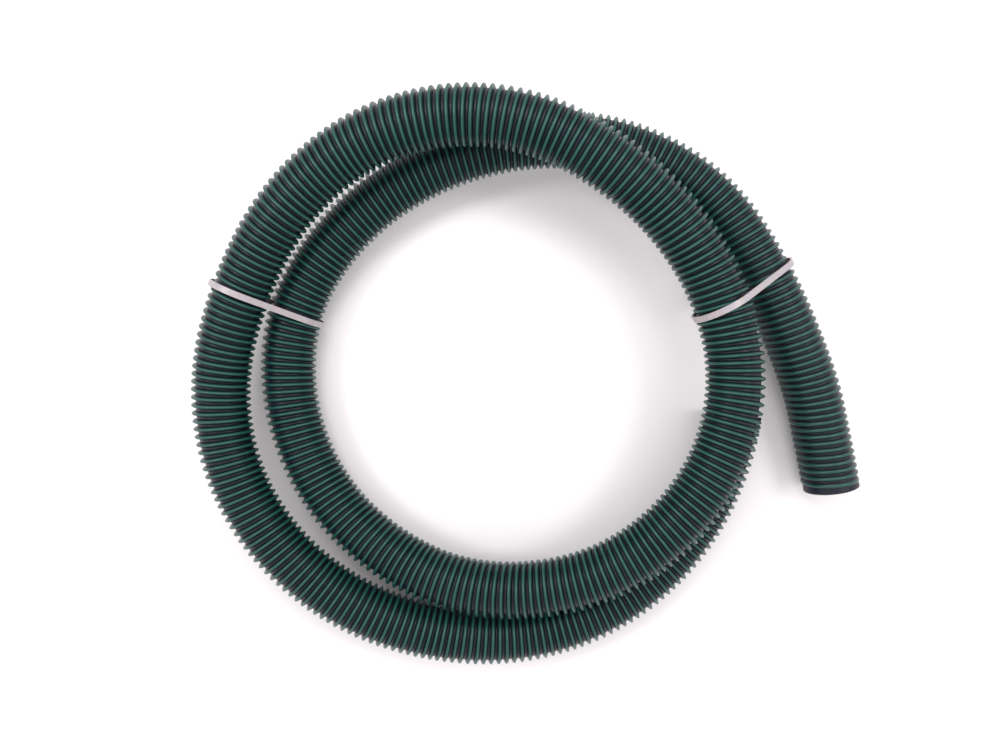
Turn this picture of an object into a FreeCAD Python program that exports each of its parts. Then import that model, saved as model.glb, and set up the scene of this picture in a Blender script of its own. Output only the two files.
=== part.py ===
import FreeCAD, Part
import math
import os
import Sketcher

# A corrugated waste hose lying as a loose coil, held by two nylon cable ties.
# Frame: +Z up, the floor at z = 0, the origin under the middle of the coil's outline.

Vector = FreeCAD.Vector
Placement = FreeCAD.Placement
Rotation = FreeCAD.Rotation

doc = FreeCAD.newDocument("sewer_hose_kit")
sheet = doc.addObject("Spreadsheet::Sheet", "sizes")
sheet_rows = []


def add_size(name, value):
    sheet_rows.append(name)
    sheet.set("A%d" % len(sheet_rows), name)
    sheet.set("B%d" % len(sheet_rows), str(value))
    sheet.setAlias("B%d" % len(sheet_rows), name)


for name, value in {
    "hose_bore": 38.0,          # clear bore
    "hose_crest": 47.0,         # over the crests of the rib
    "coil_spread": 1.0,         # looser or tighter coil, in plan only
    "strap_width": 5.0,
    "strap_thick": 1.3,
    "strap_gap": 1.0,           # strap to the crests, which cross it a little askew
    "slot_play": 0.2,           # round the strap's tail in the head
    "stub_proud": 2.5,          # cut tail left outside the head
    "head_width": 7.8,
    "head_deep": 5.0,           # out from the strap
    "head_sink": 0.8,           # of the head, into the strap's thickness
    "head_rear": 2.2,           # wall behind the tail
    "head_front": 1.0,          # wall behind the pawl
    "pocket_long": 2.3,         # room for the pawl, beside the tail
    "pocket_floor": 0.6,
    "pawl_thick": 1.0,
    "pawl_lean": 0.85,          # of its tip, towards the tail
    "pawl_play": 0.2,           # under it, and to the tail
}.items():
    add_size(name, value)
doc.recompute()


def size(name):
    return float(sheet.get(name))


# ---------------------------------------------------------------- the hose's route
# The middle line of the hose. The free end lies at the lower right; from there the coil
# runs anticlockwise for two turns, a point every 20 degrees about its own centre. The
# numbers are for a 47 mm hose; another hose lies in a coil as much larger or smaller.

shift_x, shift_y = -28.7, 13.4                # from the coil's working frame to the origin
coil_x, coil_y = -9.0, 0.0
coil_step = 20.0
free_end = [(293.5, -99.5, 23.5), (283, -50, 26)]
tucked_end = [(208, -34, 23.5)]
coil_radius = [
    279, 252, 244.5, 227, 205.5, 190.5, 183.5, 181, 182.5,
    180.5, 179, 179.5, 180, 184, 187, 193, 199, 204,
    205, 200, 194.5, 193, 201, 208, 214, 216.5, 219.5,
    230.5, 236.5, 237, 235, 233.5, 234, 231.5, 227.5, 223.5,
]
coil_height = [
    30, 42, 46, 47.5, 46, 40, 33.5, 30, 27.5,
    24.5, 23.5, 24.5, 31, 40.5, 49.5, 57.5, 63, 66.5,
    68.5, 72.5, 82.5, 92.5, 96.5, 94, 84.5, 72.5, 59,
    49, 45, 40, 34.5, 27.5, 23.5, 23.5, 23.5, 23.5,
]
arc_share = 0.45                              # of the shorter run, taken by each arc
hose_scale = size("hose_crest") / 47.0
plan_scale = hose_scale * size("coil_spread")


def to_frame(x, y, z):
    return Vector((x + shift_x) * plan_scale, (y + shift_y) * plan_scale, z * hose_scale)


def route_points():
    points = [to_frame(*p) for p in free_end]
    for k, (radius, height) in enumerate(zip(coil_radius, coil_height)):
        turn = math.radians(k * coil_step)
        points.append(to_frame(coil_x + radius * math.cos(turn),
                               coil_y + radius * math.sin(turn), height))
    return points + [to_frame(*p) for p in tucked_end]


def route_edges(points):
    """Straight runs joined by tangent arcs, in order, and the arcs' radii."""
    edges, radii = [], []
    last = points[0]
    for before, corner, after in zip(points, points[1:], points[2:]):
        run_in, run_out = corner - before, after - corner
        tangent = arc_share * min(run_in.Length, run_out.Length)
        half_turn = run_in.getAngle(run_out) / 2
        radius = tangent / math.tan(half_turn)
        start = corner - run_in.normalize() * tangent
        end = corner + run_out.normalize() * tangent
        inward = (start + end - corner * 2).normalize()
        middle = corner + inward * (radius / math.cos(half_turn) - radius)
        edges.append(Part.LineSegment(last, start).toShape())
        edges.append(Part.Arc(start, middle, end).toShape())
        radii.append(radius)
        last = end
    edges.append(Part.LineSegment(last, points[-1]).toShape())
    return edges, radii


points = route_points()
edges, radii = route_edges(points)
route = Part.Wire(edges)
samples = route.discretize(Distance=1.0)
parts = []                                    # every finished sub-part


def finish(obj, label):
    obj.Label = label
    parts.append(obj)
    return obj


# ---------------------------------------------------------------- hose
# One hose, cut into lengths whose end faces meet. The ends are straight and open; the
# lengths between them are plain envelopes over the crests.

hose_lengths = {
    "hose_tail": (1, 18),
    "hose_inner_turn": (18, 38),
    "hose_crossing": (38, 56),
    "hose_outer_turn": (56, 74),
}


def start_of(edge):
    return edge.valueAt(edge.FirstParameter), edge.tangentAt(edge.FirstParameter)


def open_end(label, edge):
    start, along = start_of(edge)
    tubes = []
    for what in ("hose_crest", "hose_bore"):
        tube = doc.addObject("Part::Cylinder", "%s_%s" % (label, what))
        tube.setExpression("Radius", "sizes.%s / 2" % what)
        tube.Height = edge.Length
        tube.Placement = Placement(start, Rotation(Vector(0, 0, 1), along))
        tubes.append(tube)
    end = doc.addObject("Part::Cut", label)
    end.Base, end.Tool = tubes
    return finish(end, label)


def hose_length(label, run):
    path = doc.addObject("Part::Feature", label + "_path")
    path.Shape = Part.Wire(run)
    start, along = start_of(run[0])
    ring = doc.addObject("Part::Circle", label + "_ring")
    ring.setExpression("Radius", "sizes.hose_crest / 2")
    ring.Placement = Placement(start, Rotation(Vector(0, 0, 1), along))
    sweep = doc.addObject("Part::Sweep", label)
    sweep.Sections = [ring]
    sweep.Spine = (path, [])
    sweep.Solid = True
    return finish(sweep, label)


open_end("hose_free_end", edges[0])
for label, (first, last) in hose_lengths.items():
    hose_length(label, edges[first:last])
open_end("hose_tucked_end", edges[-1])


# ---------------------------------------------------------------- cable ties
# A tie's own frame: the origin at the inner hose's centre, +X to the outer hose's centre,
# +Y up and +Z back along the hoses. Its band lies in the XY plane.

ties = {
    "left_tie": {"middle": (-196, 60, 40), "heading": 159, "head_below": 75},
    "right_tie": {"middle": (204, 72, 55), "heading": 33, "head_below": 10},
}


def tie_frame(middle, heading):
    """The tie's placement, square on average to its two hoses, and their distance."""
    origin = to_frame(*middle)
    turn = math.radians(heading)
    along = Vector(-math.sin(turn), math.cos(turn), 0)
    axis = to_frame(coil_x, coil_y, 0)
    for step in range(3):
        crossings = []
        for a, b in zip(samples, samples[1:]):
            before, after = (a - origin).dot(along), (b - origin).dot(along)
            if before * after <= 0 and before != after and (a - origin).Length < 2 * size("hose_crest"):
                crossings.append((a + (b - a) * (before / (before - after)), (b - a).normalize()))
        crossings.sort(key=lambda c: (c[0].x - axis.x) ** 2 + (c[0].y - axis.y) ** 2)
        (inner, inner_way), (outer, outer_way) = crossings
        across = outer - inner
        origin = (inner + outer) / 2
        along = inner_way + outer_way
        along = (along - across * (along.dot(across) / across.dot(across))).normalize()
    span = across.Length
    side = across.normalize()
    return Placement(inner, Rotation(side, side.cross(along), along * -1, "ZXY")), span


def band_sketch(body, name, span_alias, radius_rule):
    """A band's outline round two hoses: two half circles and their common tangents."""
    plane = [f for f in body.Origin.OriginFeatures if f.Role == "XY_Plane"][0]
    sketch = body.newObject("Sketcher::SketchObject", name)
    sketch.AttachmentSupport = [(plane, "")]
    sketch.MapMode = "FlatFace"
    span, radius, up = size(span_alias), size("hose_crest") / 2, Vector(0, 0, 1)
    half = math.pi / 2
    left = sketch.addGeometry(Part.ArcOfCircle(Part.Circle(Vector(0, 0, 0), up, radius), half, 3 * half))
    right = sketch.addGeometry(Part.ArcOfCircle(Part.Circle(Vector(span, 0, 0), up, radius), -half, half))
    top = sketch.addGeometry(Part.LineSegment(Vector(0, radius, 0), Vector(span, radius, 0)))
    low = sketch.addGeometry(Part.LineSegment(Vector(0, -radius, 0), Vector(span, -radius, 0)))
    sketch.addConstraint(Sketcher.Constraint("Coincident", left, 3, -1, 1))
    sketch.addConstraint(Sketcher.Constraint("PointOnObject", right, 3, -1))
    sketch.addConstraint(Sketcher.Constraint("Tangent", left, 1, top, 1))
    sketch.addConstraint(Sketcher.Constraint("Tangent", top, 2, right, 2))
    sketch.addConstraint(Sketcher.Constraint("Tangent", right, 1, low, 2))
    sketch.addConstraint(Sketcher.Constraint("Tangent", low, 1, left, 2))
    sketch.addConstraint(Sketcher.Constraint("Equal", left, right))
    rule = sketch.addConstraint(Sketcher.Constraint("DistanceX", left, 3, right, 3, span))
    sketch.setExpression("Constraints[%d]" % rule, "sizes." + span_alias)
    rule = sketch.addConstraint(Sketcher.Constraint("Radius", left, radius))
    sketch.setExpression("Constraints[%d]" % rule, radius_rule)
    return sketch


def block(name, frame, length, width, height, corner):
    """A box with sizes ruled by the sheet, and its low corner at a place in the frame."""
    box = doc.addObject("Part::Box", name)
    box.setExpression("Length", length)
    box.setExpression("Width", width)
    box.setExpression("Height", height)
    box.Placement = frame * Placement(Vector(*corner), Rotation())
    return box


def cable_tie(name, middle, heading, head_below):
    frame, span = tie_frame(middle, heading)
    span_alias = name + "_span"
    add_size(span_alias, round(span, 3))
    doc.recompute()

    # band
    band = doc.addObject("PartDesign::Body", name + "_band")
    pad = band.newObject("PartDesign::Pad", name + "_pad")
    pad.Profile = band_sketch(band, name + "_outer", span_alias,
                              "sizes.hose_crest / 2 + sizes.strap_gap + sizes.strap_thick")
    pad.SideType = "Symmetric"
    pad.setExpression("Length", "sizes.strap_width")
    hole = band.newObject("PartDesign::Pocket", name + "_hole")
    hole.Profile = band_sketch(band, name + "_inner", span_alias,
                               "sizes.hose_crest / 2 + sizes.strap_gap")
    hole.SideType = "Symmetric"
    hole.setExpression("Length", "sizes.strap_width * 2")
    band.Tip = hole

    # the head's frame, on the band's outer face: +X round and down the hose, +Y out from it
    out_radius = size("hose_crest") / 2 + size("strap_gap") + size("strap_thick")
    low = math.radians(head_below)
    out = Vector(math.cos(low), -math.sin(low), 0)
    seat = Placement(Vector(span, 0, 0) + out * out_radius,
                     Rotation(Vector(-math.sin(low), -math.cos(low), 0), out, Vector(0, 0, 1), "ZXY"))
    width, thick, play = size("strap_width"), size("strap_thick"), size("slot_play")
    sink = size("head_sink")
    slot_width = "sizes.strap_width + 2 * sizes.slot_play"

    # head: a block with a slot right through it and a blind pocket for the pawl
    solid = block(name + "_block", seat,
                  "sizes.head_rear + sizes.strap_thick + 2 * sizes.slot_play"
                  " + sizes.pocket_long + sizes.head_front",
                  "sizes.head_deep + sizes.head_sink", "sizes.head_width",
                  (-size("head_rear") - play, -sink, -size("head_width") / 2))
    slot = block(name + "_slot", seat, "sizes.strap_thick + 2 * sizes.slot_play",
                 "sizes.head_deep * 3", slot_width, (-play, -size("head_deep"), -width / 2 - play))
    pocket = block(name + "_pocket", seat, "sizes.pocket_long + sizes.slot_play",
                   "sizes.head_deep * 2", slot_width, (thick, size("pocket_floor"), -width / 2 - play))
    hollow = doc.addObject("Part::Fuse", name + "_hollow")
    hollow.Base, hollow.Tool = slot, pocket
    head = doc.addObject("Part::Cut", name + "_head")
    head.Base, head.Tool = solid, hollow
    tail = block(name + "_tail", seat, "sizes.strap_thick",
                 "sizes.head_deep + sizes.stub_proud + sizes.strap_thick / 2",
                 "sizes.strap_width", (0, -thick / 2, -width / 2))
    moulding = doc.addObject("Part::MultiFuse", name)
    moulding.Shapes = [band, head, tail]
    moulding.Placement = frame
    finish(moulding, name)

    # pawl: a leaning tongue whose root is its hinge
    root = thick + play + 0.9
    foot = size("pocket_floor") + size("pawl_play")
    pawl = doc.addObject("Part::Wedge", name + "_pawl")
    for prop, rule in {
        "Xmin": "0",
        "Xmax": "sizes.pawl_thick",
        "X2min": "-1 * sizes.pawl_lean",
        "X2max": "sizes.pawl_thick - 0.8 * sizes.pawl_lean",
        "Ymin": "0",
        "Ymax": "sizes.head_deep - sizes.pocket_floor - 0.6",
        "Zmin": "0",
        "Zmax": "sizes.strap_width - sizes.pawl_play",
        "Z2min": "0",
        "Z2max": "sizes.strap_width - sizes.pawl_play",
    }.items():
        pawl.setExpression(prop, rule)
    corner = Vector(root, foot, -(width - size("pawl_play")) / 2)
    pawl.Placement = frame * seat * Placement(corner, Rotation())
    finish(pawl, name + "_pawl")

    hinge = (frame * seat).multVec(Vector(root + size("pawl_thick") / 2, foot + 0.15, 0))
    away = frame.Rotation.multVec(Vector(0, 0, -1))
    print("%s crosses %s and %s" % (name, tuple(round(v, 1) for v in frame.Base),
                                   tuple(round(v, 1) for v in frame.multVec(Vector(span, 0, 0)))))
    print("%s span %.2f, hinge at %.4f %.4f %.4f" % (name, span, hinge.x, hinge.y, hinge.z))
    print("%s hinge axis %.6f %.6f %.6f" % (name, away.x, away.y, away.z))


for name, place in ties.items():
    cable_tie(name, **place)


# ---------------------------------------------------------------- check and write
doc.recompute()
for obj in doc.Objects:
    if "Invalid" in obj.State or "Error" in obj.State:
        raise RuntimeError("%s: %s" % (obj.Name, obj.State))
for obj in parts:
    if obj.Shape.isNull() or not obj.Shape.isValid() or len(obj.Shape.Solids) != 1:
        raise RuntimeError("%s: bad shape" % obj.Label)

total = FreeCAD.BoundBox()
for obj in parts:
    total.add(obj.Shape.BoundBox)
    print("%-18s %12.2f mm3" % (obj.Label, obj.Shape.Volume))
print("low corner %.2f %.2f %.2f" % (total.XMin, total.YMin, total.ZMin))
print("high corner %.2f %.2f %.2f" % (total.XMax, total.YMax, total.ZMax))
print("route %.1f mm, arc radii %s" % (route.Length, [round(r) for r in radii]))
section = math.pi * (size("hose_crest") / 2) ** 2
for label, (first, last) in hose_lengths.items():
    length = sum(edge.Length for edge in edges[first:last])
    volume = [obj for obj in parts if obj.Label == label][0].Shape.Volume
    print("%s volume / (section x length) = %.5f" % (label, volume / (section * length)))

os.makedirs("parts", exist_ok=True)
for obj in parts:
    obj.Shape.exportStep("parts/%s.step" % obj.Label)
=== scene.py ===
import math

import bpy
import numpy as np
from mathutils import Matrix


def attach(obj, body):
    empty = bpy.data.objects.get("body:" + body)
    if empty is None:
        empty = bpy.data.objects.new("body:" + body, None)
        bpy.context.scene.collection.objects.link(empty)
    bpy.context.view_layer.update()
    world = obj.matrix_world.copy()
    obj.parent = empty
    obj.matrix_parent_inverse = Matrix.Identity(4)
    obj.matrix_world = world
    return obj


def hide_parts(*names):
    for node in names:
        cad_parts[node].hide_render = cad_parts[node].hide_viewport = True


# A green and black corrugated waste hose in a loose coil, held by two nylon cable ties.
# Everything is in metres, in the part's own frame: floor at z = 0, +Z up.

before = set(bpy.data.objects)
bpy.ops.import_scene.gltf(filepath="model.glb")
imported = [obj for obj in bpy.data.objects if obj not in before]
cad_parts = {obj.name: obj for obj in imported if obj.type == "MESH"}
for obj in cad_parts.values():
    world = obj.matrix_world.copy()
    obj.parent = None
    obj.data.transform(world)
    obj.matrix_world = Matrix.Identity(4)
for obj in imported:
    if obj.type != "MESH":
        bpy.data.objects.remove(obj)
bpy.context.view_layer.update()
mm = 0.001

# ---- camera: straight above the coil

camera = {
    "place": (-0.0287, 0.0134, 0.600),    # over the coil's working frame
    "lens": 23.4,
    "sensor": 36.0,
    "nearest": 0.01,
}

cameraData = bpy.data.cameras.new("camera")
cameraData.lens = camera["lens"]
cameraData.sensor_width = camera["sensor"]
cameraData.clip_start = camera["nearest"]
cameraObject = bpy.data.objects.new("camera", cameraData)
cameraObject.location = camera["place"]
bpy.context.scene.collection.objects.link(cameraObject)
bpy.context.scene.camera = cameraObject
print("camera ready")

# ---- the hose's middle line, from the free end anticlockwise for two turns

hoseRoute = {
    "shift": (-28.7, 13.4),               # of the coil's working frame, in mm
    "centre": (-9.0, 0.0),
    "stepDegrees": 20,
    "curveSteps": 24,                     # of the spline, between two of its points
    "lineSpacing": 2.0,
    "waySmoothing": 4,                    # neighbours taken in on either side
    "bendSmoothing": 8,
    "freeEnd": [(293.5, -99.5, 23.5), (283, -50, 26)],
    "tuckedEnd": [(208, -34, 23.5)],
    "radii": [
        279, 252, 244.5, 227, 205.5, 190.5, 183.5, 181, 182.5,
        180.5, 179, 179.5, 180, 184, 187, 193, 199, 204,
        205, 200, 194.5, 193, 201, 208, 214, 216.5, 219.5,
        230.5, 236.5, 237, 235, 233.5, 234, 231.5, 227.5, 223.5,
    ],
    "heights": [
        30, 42, 46, 47.5, 46, 40, 33.5, 30, 27.5,
        24.5, 23.5, 24.5, 31, 40.5, 49.5, 57.5, 63, 66.5,
        68.5, 72.5, 82.5, 92.5, 96.5, 94, 84.5, 72.5, 59,
        49, 45, 40, 34.5, 27.5, 23.5, 23.5, 23.5, 23.5,
    ],
}


# Route points: polar stations about the coil's centre, between the two ends' own points.
def routePoints(route):
    turn = np.radians(np.arange(len(route["radii"])) * route["stepDegrees"])
    radii = np.array(route["radii"], float)
    coil = np.stack([route["centre"][0] + radii * np.cos(turn),
                     route["centre"][1] + radii * np.sin(turn),
                     np.array(route["heights"], float)], axis=1)
    points = np.concatenate([route["freeEnd"], coil, route["tuckedEnd"]])
    return (points + np.array([*route["shift"], 0.0])) * mm


# Curve through the route: a quadratic spline that starts and ends on its end points.
def makeRouteCurve(points, steps):
    curve = bpy.data.curves.new("routeLine", "CURVE")
    curve.dimensions = "3D"
    spline = curve.splines.new("NURBS")
    spline.points.add(len(points) - 1)
    spline.points.foreach_set("co", np.c_[points, np.ones(len(points))].ravel())
    spline.order_u = 3
    spline.use_endpoint_u = True
    spline.resolution_u = steps
    return curve


# The spline's own line as an array of points, then evenly spaced along its length.
def followCurve(curve, spacing):
    holder = bpy.data.objects.new("routeHolder", curve)
    mesh = bpy.data.meshes.new_from_object(holder)
    line = np.empty(len(mesh.vertices) * 3)
    mesh.vertices.foreach_get("co", line)
    line = line.reshape(-1, 3)
    bpy.data.objects.remove(holder)
    bpy.data.meshes.remove(mesh)
    bpy.data.curves.remove(curve)
    along = np.r_[0.0, np.cumsum(np.linalg.norm(np.diff(line, axis=0), axis=1))]
    even = np.linspace(0.0, along[-1], int(along[-1] / spacing) + 1)
    return np.stack([np.interp(even, along, line[:, k]) for k in range(3)], axis=1), even


routeCurve = makeRouteCurve(routePoints(hoseRoute), hoseRoute["curveSteps"])
linePoints, lineAlong = followCurve(routeCurve, hoseRoute["lineSpacing"] * mm)
hoseLength = float(lineAlong[-1])


# Running mean over a few neighbours, with the ends repeated.
def smoothed(values, reach):
    padded = np.pad(values, ((reach, reach), (0, 0)), mode="edge")
    total = np.cumsum(np.vstack([np.zeros((1, values.shape[1])), padded]), axis=0)
    return (total[2 * reach + 1:] - total[:-2 * reach - 1]) / (2 * reach + 1)


# Frame of the hose at each point: the way it runs (the slope of its line), its left side
# (up crossed with the way), its own up (way crossed with side) and its bend (slope of the way).
lineWay = np.gradient(linePoints, lineAlong, axis=0)
lineWay = smoothed(lineWay, hoseRoute["waySmoothing"])
lineWay /= np.linalg.norm(lineWay, axis=1, keepdims=True)
lineSide = np.cross([0.0, 0.0, 1.0], lineWay)
lineSide /= np.linalg.norm(lineSide, axis=1, keepdims=True)
lineUp = np.cross(lineWay, lineSide)
lineBend = smoothed(np.gradient(lineWay, lineAlong, axis=0), hoseRoute["bendSmoothing"])
print("hose line ready, %.3f m" % hoseLength)


# Any of the frame's arrays, read at distances along the hose.
def readAt(table, along):
    return np.stack([np.interp(along, lineAlong, table[:, k]) for k in range(3)], axis=-1)


# Way out from the middle line: the side times the angle's cosine plus the up times its sine.
def outward(along, angle):
    return (readAt(lineSide, along) * np.cos(angle)[..., None]
            + readAt(lineUp, along) * np.sin(angle)[..., None])


# Point on the hose: middle line plus radius times the way out.
def hosePoint(along, angle, radius):
    reach = np.broadcast_to(radius, along.shape)[..., None]
    return readAt(linePoints, along) + outward(along, angle) * reach


# How much longer the hose's skin is there than its middle line: one minus radius times
# the bend towards that side.
def skinStretch(along, angle, radius):
    return 1.0 - radius * (readAt(lineBend, along) * outward(along, angle)).sum(-1)


# ---- meshes from grids of points

# Four-sided faces between neighbouring rows and columns, closed round either way or not.
def gridFaces(rows, columns, closeRows, closeColumns):
    i, j = np.meshgrid(np.arange(rows if closeRows else rows - 1),
                       np.arange(columns if closeColumns else columns - 1), indexing="ij")
    nextI, nextJ = (i + 1) % rows, (j + 1) % columns
    corners = [i * columns + j, i * columns + nextJ, nextI * columns + nextJ, nextI * columns + j]
    return np.stack([c.ravel() for c in corners], axis=1)


# Mesh from a grid of points, with flat caps on a closed profile's two ends if asked, and
# one number at each point for each mark.
def makeMesh(name, grid, closeRows=False, closeColumns=False, capped=False, marks=None):
    rows, columns = grid.shape[:2]
    quads = gridFaces(rows, columns, closeRows, closeColumns)
    corners = [quads.ravel()]
    sizes = [np.full(len(quads), 4)]
    if capped:                            # both open ends of a closed profile
        ring = np.arange(columns)
        corners += [ring[::-1], ring + (rows - 1) * columns]
        sizes += [[columns], [columns]]
    corners, sizes = np.concatenate(corners), np.concatenate(sizes)
    mesh = bpy.data.meshes.new(name)
    mesh.vertices.add(rows * columns)
    mesh.vertices.foreach_set("co", grid.reshape(-1))
    mesh.loops.add(len(corners))
    mesh.loops.foreach_set("vertex_index", corners)
    mesh.polygons.add(len(sizes))
    mesh.polygons.foreach_set("loop_start", np.r_[0, np.cumsum(sizes)[:-1]])
    mesh.update(calc_edges=True)
    mesh.validate()
    mesh.shade_smooth()
    for markName, values in (marks or {}).items():
        layer = mesh.attributes.new(markName, "FLOAT", "POINT")
        layer.data.foreach_set("value", np.broadcast_to(values, (rows, columns)).ravel())
    piece = bpy.data.objects.new(name, mesh)
    bpy.context.scene.collection.objects.link(piece)
    return piece


# ---- materials

# Colour from its six sRGB hex digits to linear light.
def linearColour(hexDigits):
    values = [int(hexDigits[k:k + 2], 16) / 255 for k in (0, 2, 4)]
    return [v / 12.92 if v <= 0.04045 else ((v + 0.055) / 1.055) ** 2.4 for v in values] + [1.0]


# Adds one node, sets its properties, and sets or links its inputs, named or as _number.
def addNode(tree, kind, settings=None, **inputs):
    node = tree.nodes.new(kind)
    for name, value in (settings or {}).items():
        setattr(node, name, value)
    for name, value in inputs.items():
        key = int(name[1:]) if name[1:].isdigit() else name.replace("_", " ")
        socket = node.inputs[key]
        if isinstance(value, bpy.types.NodeSocket):
            tree.links.new(value, socket)
        else:
            socket.default_value = value
    return node


# Empty node material.
def newMaterial(name):
    material = bpy.data.materials.new(name)
    material.use_nodes = True
    tree = material.node_tree
    tree.nodes.clear()
    return material, tree


# Colour stops of a ramp, as pairs of place and hex colour.
def setRamp(node, stops):
    ramp = node.color_ramp
    while len(ramp.elements) < len(stops):
        ramp.elements.new(0.5)
    for element, (place, colour) in zip(ramp.elements, stops):
        element.position = place
        element.color = linearColour(colour)
    return node


ribLook = {
    # the lighter wear green on the crests is partly a painted highlight; the flank green is
    # painted shade below the crest
    "crest": "12443e", "flank": "0f3833", "foot": "0f121e", "wearAndHighlight": "26524c",
    "greenFrom": 0.60, "flankAt": 0.75, "crestAt": 0.97,   # shares of the rib's height
    "patches": 38.0,                      # 26 mm across
    "grain": 900.0,                       # 1.1 mm, coarser than the real one so that it shows
    "rough": (0.26, 0.44),
    "bump": 0.12, "bumpDepth": 0.0004,
    "ior": 1.53, "specular": 0.40,
}
wallLook = {
    "deep": "0e101b", "dusty": "1c1f31",
    "bloom": 45.0,                        # 22 mm across
    "grain": 260.0,                       # 4 mm
    "rough": (0.34, 0.52),
    "bump": 0.15, "bumpDepth": 0.0003,
    "ior": 1.52, "specular": 0.30,
}
nylonLook = {
    "milk": "ada4a8", "clear": "a49b9f",
    "grain": 420.0,                       # 2.4 mm
    "rough": (0.28, 0.42),
    "bump": 0.08, "bumpDepth": 0.0003,
    "ior": 1.53,
    "cloudy": 0.35, "cloudDepth": 0.0015,
}


# Rigid green PVC of the rib: dark where it meets the wall, darker on its flanks as painted shade,
# and lighter along the crest, partly from scuffs and partly as a painted highlight, with a fine
# drawn grain from the extruder.
def extrudedGreenRib(look):
    material, tree = newMaterial("extruded green PVC rib")
    place = addNode(tree, "ShaderNodeTexCoord")
    height = addNode(tree, "ShaderNodeAttribute", {"attribute_name": "ribHeight"})
    patches = addNode(tree, "ShaderNodeTexNoise", Vector=place.outputs["Object"],
                      Scale=look["patches"], Detail=4.0)
    scuffs = addNode(tree, "ShaderNodeTexNoise", Vector=place.outputs["Object"],
                     Scale=look["grain"], Detail=3.0)
    # Ramp by rib height: black foot, then a darker flank green as painted shade, rising to a
    # lighter crest.
    shade = setRamp(addNode(tree, "ShaderNodeValToRGB", Fac=height.outputs["Fac"]),
                    [(0.0, look["foot"]), (look["greenFrom"], look["foot"]),
                     (look["flankAt"], look["flank"]), (look["crestAt"], look["crest"])])
    # Lighter green where two noises meet, weighted to the crest by the rib's height: partly
    # scuffs, partly a painted highlight.
    wearAndHighlightMask = addNode(tree, "ShaderNodeMath", {"operation": "MULTIPLY"},
                       _0=patches.outputs["Fac"], _1=scuffs.outputs["Fac"])
    wearAndHighlightMask = addNode(tree, "ShaderNodeMath", {"operation": "MULTIPLY"},
                       _0=wearAndHighlightMask.outputs[0], _1=height.outputs["Fac"])
    wornAndHighlit = addNode(tree, "ShaderNodeMix", {"data_type": "RGBA"}, _0=wearAndHighlightMask.outputs[0],
                   _6=shade.outputs["Color"], _7=linearColour(look["wearAndHighlight"]))
    bump = addNode(tree, "ShaderNodeBump", Height=scuffs.outputs["Fac"],
                   Strength=look["bump"], Distance=look["bumpDepth"])
    rough = addNode(tree, "ShaderNodeMapRange", Value=patches.outputs["Fac"],
                    To_Min=look["rough"][0], To_Max=look["rough"][1])
    shader = addNode(tree, "ShaderNodeBsdfPrincipled", Base_Color=wornAndHighlit.outputs[2],
                     Roughness=rough.outputs[0], Normal=bump.outputs[0], IOR=look["ior"],
                     Specular_IOR_Level=look["specular"])
    addNode(tree, "ShaderNodeOutputMaterial", Surface=shader.outputs[0])
    return material


# Soft black PVC of the wall: near black with a bluish bloom, slightly uneven gloss.
def softBlackWall(look):
    material, tree = newMaterial("plasticised black PVC wall")
    place = addNode(tree, "ShaderNodeTexCoord")
    bloom = addNode(tree, "ShaderNodeTexNoise", Vector=place.outputs["Object"],
                    Scale=look["bloom"], Detail=5.0)
    grain = addNode(tree, "ShaderNodeTexNoise", Vector=place.outputs["Object"],
                    Scale=look["grain"], Detail=2.0)
    colour = setRamp(addNode(tree, "ShaderNodeValToRGB", Fac=bloom.outputs["Fac"]),
                     [(0.3, look["deep"]), (0.75, look["dusty"])])
    rough = addNode(tree, "ShaderNodeMapRange", Value=bloom.outputs["Fac"],
                    To_Min=look["rough"][0], To_Max=look["rough"][1])
    bump = addNode(tree, "ShaderNodeBump", Height=grain.outputs["Fac"],
                   Strength=look["bump"], Distance=look["bumpDepth"])
    shader = addNode(tree, "ShaderNodeBsdfPrincipled", Base_Color=colour.outputs["Color"],
                     Roughness=rough.outputs[0], Normal=bump.outputs[0], IOR=look["ior"],
                     Specular_IOR_Level=look["specular"])
    addNode(tree, "ShaderNodeOutputMaterial", Surface=shader.outputs[0])
    return material


# Natural nylon 6/6 of the ties: milky, faintly see-through, moulded with a soft sheen.
def naturalNylon(look):
    material, tree = newMaterial("natural moulded nylon 66")
    place = addNode(tree, "ShaderNodeTexCoord")
    cloud = addNode(tree, "ShaderNodeTexNoise", Vector=place.outputs["Object"],
                    Scale=look["grain"], Detail=3.0)
    colour = setRamp(addNode(tree, "ShaderNodeValToRGB", Fac=cloud.outputs["Fac"]),
                     [(0.3, look["clear"]), (0.7, look["milk"])])
    rough = addNode(tree, "ShaderNodeMapRange", Value=cloud.outputs["Fac"],
                    To_Min=look["rough"][0], To_Max=look["rough"][1])
    bump = addNode(tree, "ShaderNodeBump", Height=cloud.outputs["Fac"],
                   Strength=look["bump"], Distance=look["bumpDepth"])
    shader = addNode(tree, "ShaderNodeBsdfPrincipled", Base_Color=colour.outputs["Color"],
                     Roughness=rough.outputs[0], Normal=bump.outputs[0], IOR=look["ior"],
                     Subsurface_Weight=look["cloudy"], Subsurface_Scale=look["cloudDepth"])
    addNode(tree, "ShaderNodeOutputMaterial", Surface=shader.outputs[0])
    return material


ribMaterial = extrudedGreenRib(ribLook)
wallMaterial = softBlackWall(wallLook)
nylonMaterial = naturalNylon(nylonLook)
print("materials ready")

# ---- hose wall: a thin tube with rippled lining and two cut rims

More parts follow.
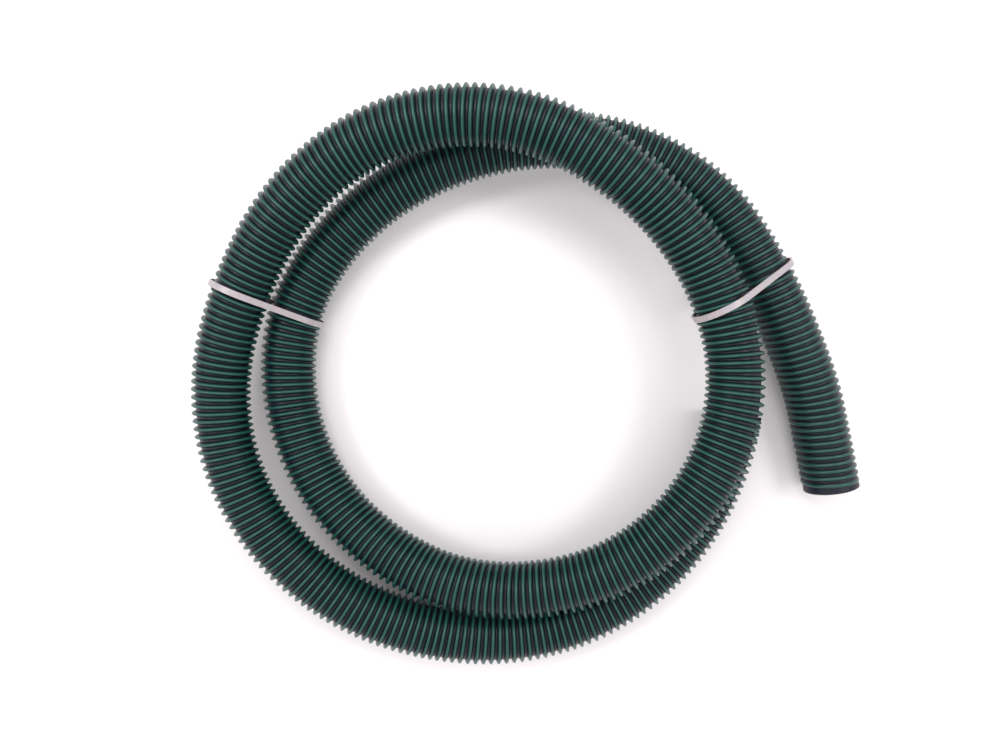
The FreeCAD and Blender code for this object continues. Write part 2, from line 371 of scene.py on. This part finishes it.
hoseWall = {
    "crestRadius": 23.5 * mm,
    "depth": 3.6 * mm,                    # from crest to valley, where the hose is drawn out
    "boreRadius": 19.0 * mm,
    "flare": 1.9 * mm,                    # of the lining, at the cut rims
    "ripple": 0.35 * mm,
    "pitch": 6.2 * mm,
    "ringSpacing": 3 * mm,
    "segments": 56,
    "rimRings": [0, 1, 2, 3, 5, 8, 11, 14, 17, 20],     # outside, in mm from each end
    "mouth": 70 * mm,                     # how far in the lining is finely ringed
    "flareReach": 4 * mm,
    "rippleReach": 8 * mm,                # full ripple from here inwards
    "leastWall": 0.4 * mm,
    "tailDepth": [                        # mm from the free end, and share of the depth
        (0, 0.22), (3, 0.28), (14, 0.58), (160, 0.62), (330, 1.0),
    ],
    "tuckedDepth": [(0, 0.22), (3, 0.28), (20, 1.0)],
    "nips": [                             # where the ties' planes cut the middle line, in mm
        (-208.9, 67.4, 27.1), (-244.9, 81.2, 58.4), (152.0, 70.3, 72.1), (197.3, 99.7, 41.3),
    ],
    "nipDepth": 1.3 * mm,
    "nipReach": 4.5 * mm,
}
nipAlong = [float(lineAlong[np.argmin(np.linalg.norm(linePoints - np.array(nip) * mm, axis=1))])
            for nip in hoseWall["nips"]]


# Share of the full rib depth: the lesser of two tables read by the distance from each end.
# It is small at the cut rims, more than half over the slack tail, and full where the hose
# is drawn out.
def depthShare(along):
    tail, tucked = np.array(hoseWall["tailDepth"]), np.array(hoseWall["tuckedDepth"])
    return np.minimum(np.interp(along, tail[:, 0] * mm, tail[:, 1]),
                      np.interp(hoseLength - along, tucked[:, 0] * mm, tucked[:, 1]))


# Crests' radius: pressed in under each tie by a bell of the distance from it.
def crestRadius(along):
    press = sum(np.exp(-((along - nip) / hoseWall["nipReach"]) ** 2) for nip in nipAlong)
    return hoseWall["crestRadius"] - hoseWall["nipDepth"] * press


# Outside radius of the wall between the ribs: the crests' radius less the depth there.
def valleyRadius(along):
    return hoseWall["crestRadius"] - hoseWall["depth"] * depthShare(along)


# Wall: rings along the outside, round the far rim, and back along the bore, closed. The
# bore's radius is its own, plus a flare that dies away from the rims, plus a cosine ripple.
def makeWall(wall):
    rim = np.array(wall["rimRings"], float) * mm
    pastRim = rim[-1] + wall["ringSpacing"]
    outside = np.r_[rim, np.arange(pastRim, hoseLength - pastRim, wall["ringSpacing"]),
                    hoseLength - rim[::-1]]
    nearMouth = np.arange(0.6 * mm, wall["mouth"], 1.0 * mm)
    pastMouth = wall["mouth"] + 10 * mm
    inside = np.r_[hoseLength, hoseLength - nearMouth,
                   np.arange(hoseLength - pastMouth, pastMouth, -8 * mm), nearMouth[::-1], 0.0]
    depth = np.minimum(inside, hoseLength - inside)
    fade = np.clip(depth / wall["rippleReach"], 0.0, 1.0)
    ripple = wall["ripple"] * np.cos(2 * np.pi * inside / wall["pitch"]) * fade
    along = np.r_[outside, inside]
    lining = wall["boreRadius"] + wall["flare"] * np.exp(-depth / wall["flareReach"]) + ripple
    radius = np.r_[valleyRadius(outside),
                   np.minimum(lining, valleyRadius(inside) - wall["leastWall"])]
    angle = np.linspace(0, 2 * np.pi, wall["segments"], endpoint=False)
    alongGrid, angleGrid = np.meshgrid(along, angle, indexing="ij")
    grid = hosePoint(alongGrid, angleGrid, radius[:, None])
    return makeMesh("hoseWall", grid, closeRows=True, closeColumns=True)


wallPiece = makeWall(hoseWall)
wallPiece.data.materials.append(wallMaterial)
print("hose wall ready")

# ---- hose rib: one left-handed helix from end to end, made in lengths

hoseRib = {
    "pitch": 6.2 * mm,
    "crestRadius": 23.5 * mm,
    "bedded": 0.25 * mm,                  # the foot's depth in the wall
    "profile": [                          # half widths in mm, and share of the height
        (2.62, 0.00), (2.15, 0.22), (1.66, 0.52), (1.20, 0.78), (0.72, 0.94), (0.26, 1.00),
    ],
    "endHeight": 0.04,                    # share of the height where the rib starts and stops
    "endRise": 5 * mm,
    "plainRim": 2.2 * mm,                 # left bare at each cut end
    "segments": 36,                       # to a turn
    "lengths": 4,
    "unevenness": 0.45 * mm,
    "waves": [                            # of unevenness: radians per metre, start, share
        (23.0, 1.0, 1.0), (61.0, 0.0, 0.7), (117.0, 2.0, 0.5),
    ],
    "evenEnds": 60 * mm,                  # where the unevenness fades out
}


# Rib: distance along grows by one pitch each turn as the angle falls, plus a few sine waves
# of unevenness. The cross-section's offsets along the line are its real widths over the
# skin's stretch, and its height is the crests' radius less the valley's, times its share.
def makeRib(rib, first, last, label):
    half = rib["profile"]
    offsets = np.array([-w for w, _ in half] + [w for w, _ in half[::-1]]) * mm
    heights = np.array([h for _, h in half] + [h for _, h in half[::-1]])
    turns = np.linspace(first, last, int(round((last - first) * rib["segments"])) + 1)
    angle = -2 * np.pi * turns
    centre = rib["plainRim"] + turns * rib["pitch"]
    drift = sum(share * np.sin(centre * rate + start) for rate, start, share in rib["waves"])
    endFade = np.clip(np.minimum(centre, hoseLength - centre) / rib["evenEnds"], 0.0, 1.0)
    centre = centre + rib["unevenness"] * drift * endFade
    toEnd = np.minimum(centre - rib["plainRim"], hoseLength - rib["plainRim"] - centre)
    rise = np.clip(rib["endHeight"] + toEnd / rib["endRise"], rib["endHeight"], 1.0)
    stretch = skinStretch(centre, angle, rib["crestRadius"])
    along = centre[:, None] + offsets[None, :] / stretch[:, None]
    foot = valleyRadius(centre) - rib["bedded"]
    tall = (crestRadius(centre) - foot) * rise
    radius = foot[:, None] + tall[:, None] * heights[None, :]
    angleGrid = np.broadcast_to(angle[:, None], along.shape)
    grid = hosePoint(np.clip(along, 0.0, hoseLength), angleGrid, radius)
    return makeMesh(label, grid, closeColumns=True, capped=True,
                    marks={"ribHeight": heights[None, :] * np.ones((len(turns), 1))})


ribTurns = (hoseLength - 2 * hoseRib["plainRim"]) / hoseRib["pitch"]
ribPieces = []
for number in range(hoseRib["lengths"]):
    first = ribTurns * number / hoseRib["lengths"]
    last = ribTurns * (number + 1) / hoseRib["lengths"]
    piece = makeRib(hoseRib, first, last, "hoseRib%d" % (number + 1))
    piece.data.materials.append(ribMaterial)
    ribPieces.append(piece)
print("rib ready, %d turns" % round(ribTurns))

for piece in [wallPiece] + ribPieces:
    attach(piece, "coil")
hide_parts("hose_free_end", "hose_tail", "hose_inner_turn", "hose_crossing",
            "hose_outer_turn", "hose_tucked_end")

# ---- cable ties

for node in ("left_tie", "left_tie_pawl", "right_tie", "right_tie_pawl"):
    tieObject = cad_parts[node]
    tieObject.data.materials.clear()
    tieObject.data.materials.append(nylonMaterial)
print("ties ready")

# ---- floor and lights

studio = {
    "floorColour": "f6f0f1",
    "floorDrop": 0.0002,                  # below the hose, so that they don't touch
    "aim": (0.0, 0.0, 0.05),
    "ambient": 1.00,
    "boxes": [
        {"name": "leftBox", "place": (-1.00, 0.15, 1.15), "size": (0.42, 0.42), "power": 5.2},
        {"name": "rightBox", "place": (0.85, 0.15, 1.15), "size": (0.42, 0.42), "power": 4.5},
        {"name": "backBox", "place": (-0.10, 0.42, 0.80), "size": (0.50, 0.30), "power": 2.4},
    ],
}


# Floor: a flat square, far wider than the coil.
def makeFloor(side, colour):
    across = np.linspace(-side / 2, side / 2, 3)
    x, y = np.meshgrid(across, across, indexing="ij")
    floor = makeMesh("floor", np.stack([y, x, np.full_like(x, -studio["floorDrop"])], axis=-1))
    material, tree = newMaterial("matt studio floor")
    shader = addNode(tree, "ShaderNodeBsdfPrincipled", Base_Color=linearColour(colour),
                     Roughness=0.9)
    addNode(tree, "ShaderNodeOutputMaterial", Surface=shader.outputs[0])
    floor.data.materials.append(material)
    return floor


makeFloor(8.0, studio["floorColour"])

world = bpy.data.worlds.new("softRoom")
bpy.context.scene.world = world
world.use_nodes = True
background = world.node_tree.nodes["Background"]
background.inputs["Color"].default_value = (1.0, 1.0, 1.0, 1.0)
background.inputs["Strength"].default_value = studio["ambient"]

for box in studio["boxes"]:
    light = bpy.data.lights.new(box["name"], "AREA")
    light.shape = "RECTANGLE"
    light.size, light.size_y = box["size"]
    light.energy = box["power"]
    lamp = bpy.data.objects.new(box["name"], light)
    lamp.location = box["place"]
    aim = np.array(studio["aim"]) - np.array(box["place"])
    pitch = math.atan2(math.hypot(aim[0], aim[1]), -aim[2])
    lamp.rotation_euler = (pitch, 0.0, math.atan2(-aim[0], aim[1]))
    bpy.context.scene.collection.objects.link(lamp)

bpy.context.scene.view_settings.view_transform = "Standard"
print("floor and lights ready")
